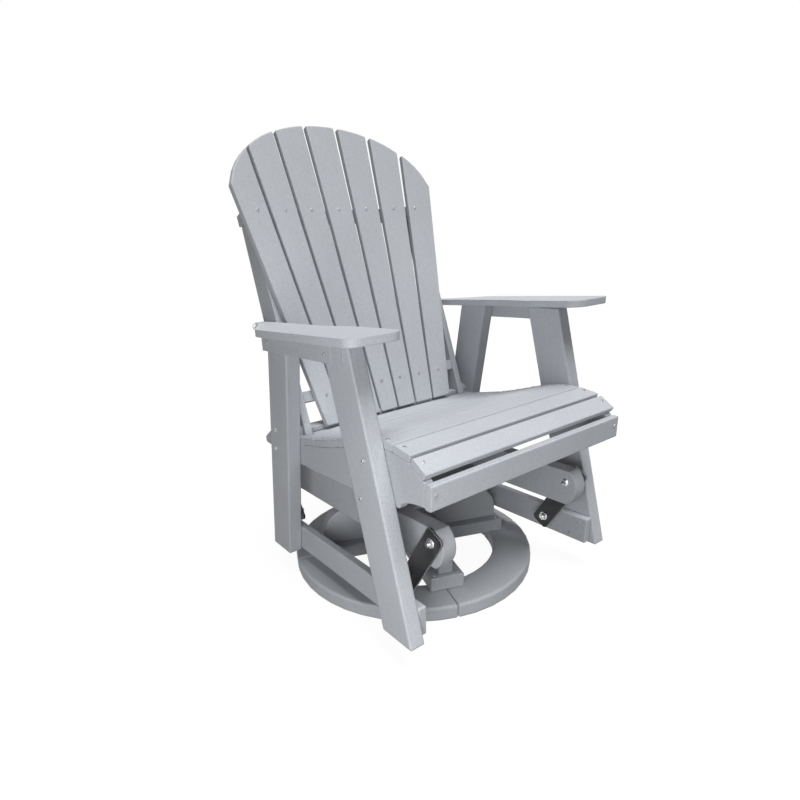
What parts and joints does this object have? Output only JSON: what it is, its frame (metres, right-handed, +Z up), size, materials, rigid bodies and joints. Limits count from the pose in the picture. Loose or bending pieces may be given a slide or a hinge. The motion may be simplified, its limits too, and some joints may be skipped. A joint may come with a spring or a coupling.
{
  "type": "swivel glider patio chair",
  "caption": "High-back patio armchair with a fanned slat back and a sloping slat seat, hung on glider links from a frame that swivels on a round base.",
  "frame": {"origin": "middle of the bounding box, on the floor; the swivel axis stands 32 mm behind it", "axes": "+X to the sitter's left, -Y the way the sitter faces, +Z up"},
  "size_m": [0.81, 0.7705, 1.1631],
  "materials": {
    "poly_lumber": "matte, fine brushed grain moulded into the face",
    "black_coated_steel": "black coated, edges rubbed bright",
    "bolt_steel": "stainless, lightly polished",
    "bearing_steel": "bright and greased"
  },
  "bodies": {
    "base": {"base_board_1": "poly_lumber", "base_board_2": "poly_lumber", "base_rail_1": "poly_lumber", "base_rail_2": "poly_lumber", "base_ring_segment_1": "poly_lumber", "base_ring_segment_2": "poly_lumber", "base_ring_segment_3": "poly_lumber", "base_ring_segment_4": "poly_lumber", "swivel_ball_ring": "bearing_steel", "swivel_lower_plate": "black_coated_steel"},
    "glider_frame": {"cross_board_back": "poly_lumber", "cross_board_front": "poly_lumber", "glider_beam_left": "poly_lumber", "glider_beam_right": "poly_lumber", "swivel_upper_plate": "black_coated_steel", "upper_pivot_bolt_front_left": "bolt_steel", "upper_pivot_bolt_front_right": "bolt_steel", "upper_pivot_bolt_rear_left": "bolt_steel", "upper_pivot_bolt_rear_right": "bolt_steel"},
    "front_links": {"front_link_left": "black_coated_steel", "front_link_right": "black_coated_steel"},
    "rear_links": {"rear_link_left": "black_coated_steel", "rear_link_right": "black_coated_steel"},
    "chair": {"apron": "poly_lumber", "arm_left": "poly_lumber", "arm_right": "poly_lumber", "arm_support_left": "poly_lumber", "arm_support_right": "poly_lumber", "back_leg_left": "poly_lumber", "back_leg_right": "poly_lumber", "back_slat_1": "poly_lumber", "back_slat_2": "poly_lumber", "back_slat_3": "poly_lumber", "back_slat_4": "poly_lumber", "back_slat_5": "poly_lumber", "back_slat_6": "poly_lumber", "back_slat_7": "poly_lumber", "bottom_rail_left": "poly_lumber", "bottom_rail_right": "poly_lumber", "front_leg_left": "poly_lumber", "front_leg_right": "poly_lumber", "lower_brace": "poly_lumber", "lower_pivot_bolt_front_left": "bolt_steel", "lower_pivot_bolt_front_right": "bolt_steel", "lower_pivot_bolt_rear_left": "bolt_steel", "lower_pivot_bolt_rear_right": "bolt_steel", "seat_nose": "poly_lumber", "seat_rail_left": "poly_lumber", "seat_rail_right": "poly_lumber", "seat_slat_1": "poly_lumber", "seat_slat_2": "poly_lumber", "seat_slat_3": "poly_lumber", "seat_slat_4": "poly_lumber", "seat_slat_5": "poly_lumber", "seat_slat_6": "poly_lumber", "seat_slat_7": "poly_lumber", "seat_slat_8": "poly_lumber", "stile_left": "poly_lumber", "stile_right": "poly_lumber", "upper_brace": "poly_lumber"}
  },
  "joints": [
    {"name": "swivel", "type": "hinge", "parent": "base", "child": "glider_frame", "pos_m": [0, 0.03213, 0.1924], "axis": [0, 0, 1], "continuous": true},
    {"name": "front_link_swing", "type": "hinge", "parent": "glider_frame", "child": "front_links", "pos_m": [0, -0.32112, 0.27216], "axis": [1, 0, 0], "range_deg": [-15, 15]},
    {"name": "rear_link_swing", "type": "hinge", "parent": "glider_frame", "child": "rear_links", "pos_m": [0, 0.32538, 0.27216], "axis": [1, 0, 0], "range_deg": [-15, 15]},
    {"name": "chair_hang", "type": "hinge", "parent": "front_links", "child": "chair", "pos_m": [0, -0.24012, 0.13416], "axis": [1, 0, 0], "range_deg": [-20, 20]}
  ],
  "couplings": [
    {"joint": "rear_link_swing", "follows": "front_link_swing", "ratio": 1},
    {"joint": "chair_hang", "follows": "front_link_swing", "ratio": -1.3255}
  ]
}
